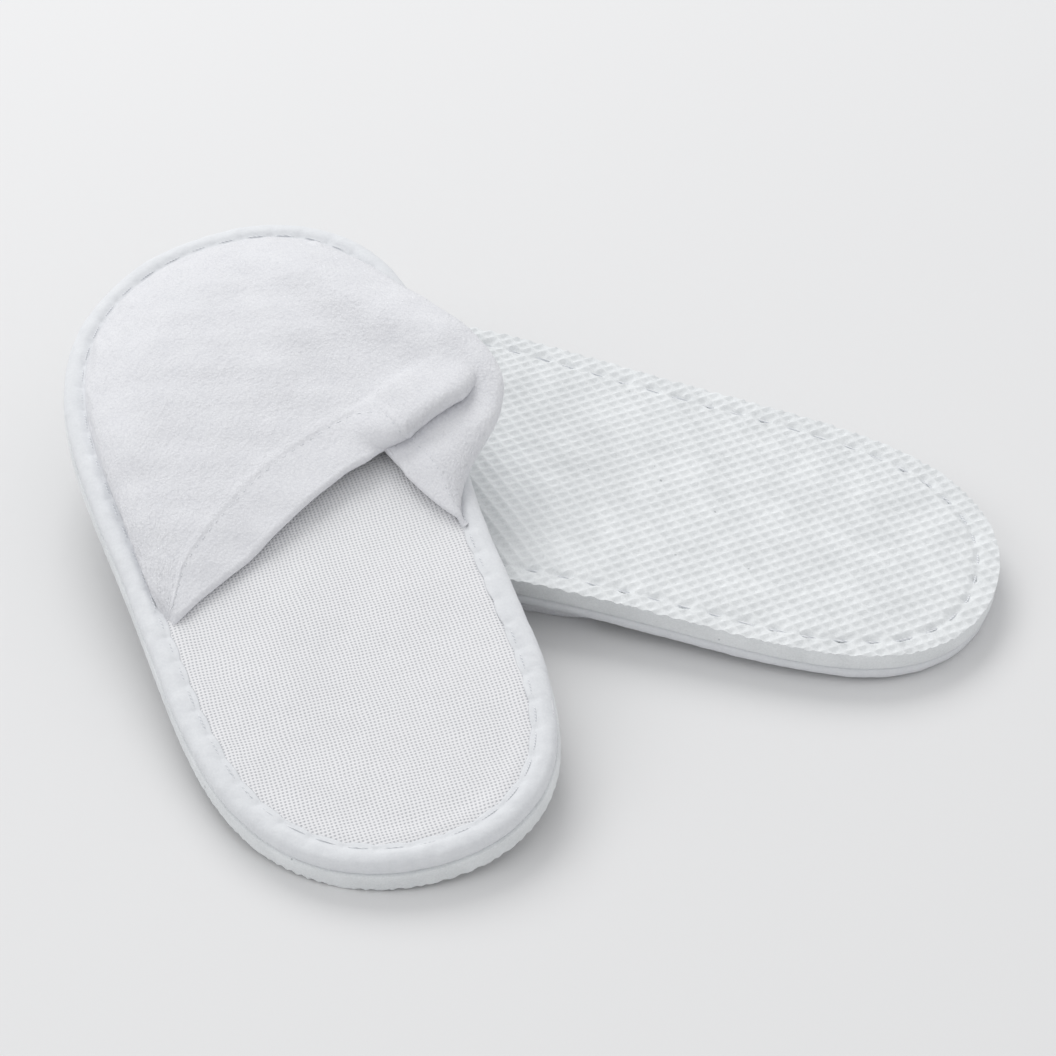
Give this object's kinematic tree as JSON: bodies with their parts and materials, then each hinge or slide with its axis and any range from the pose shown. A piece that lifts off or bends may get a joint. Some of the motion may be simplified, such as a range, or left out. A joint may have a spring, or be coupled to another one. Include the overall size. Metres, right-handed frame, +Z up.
{
  "type": "spa slippers",
  "caption": "Closed-toe spa slippers of white towelling on textured foam soles, bound round the edge; the upright slipper leans on its sole-up mate.",
  "frame": {"origin": "middle of the pair in plan, on the surface that the slippers lie on", "axes": "+Z up; +Y along the upright slipper towards its toe; +X across it to its right, towards the heel of the upturned slipper"},
  "size_m": [0.281, 0.2696, 0.0651],
  "materials": {
    "outsole_foam": "matt closed-cell foam with a moulded diamond tread",
    "nonwoven": "smooth non-woven cloth",
    "inner_foam": "soft open-cell foam sheet laminated to the cloth",
    "towelling": "short looped terry pile",
    "binding_tape": "smooth rolled non-woven tape with a faint sheen",
    "thread": "white sewing thread"
  },
  "bodies": {
    "upturned_slipper": {"upturned_outsole": "outsole_foam", "upturned_insole_backing": "nonwoven", "upturned_insole_foam": "inner_foam", "upturned_insole_towelling": "towelling", "upturned_edge_binding": "binding_tape", "upturned_sole_thread": "thread", "upturned_binding_thread": "thread", "upturned_vamp_cover": "towelling", "upturned_vamp_foam": "inner_foam", "upturned_vamp_lining": "nonwoven", "upturned_hem_thread": "thread"},
    "upright_slipper": {"upright_outsole": "outsole_foam", "upright_insole_backing": "nonwoven", "upright_insole_foam": "inner_foam", "upright_insole_towelling": "towelling", "upright_edge_binding": "binding_tape", "upright_sole_thread": "thread", "upright_binding_thread": "thread", "upright_vamp_cover": "towelling", "upright_vamp_foam": "inner_foam", "upright_vamp_lining": "nonwoven", "upright_hem_thread": "thread"}
  },
  "joints": [
    {"name": "upright_slipper_lift", "type": "slide", "parent": "upturned_slipper", "child": "upright_slipper", "axis": [0, 0, 1], "range_m": [0, 0.2]}
  ]
}
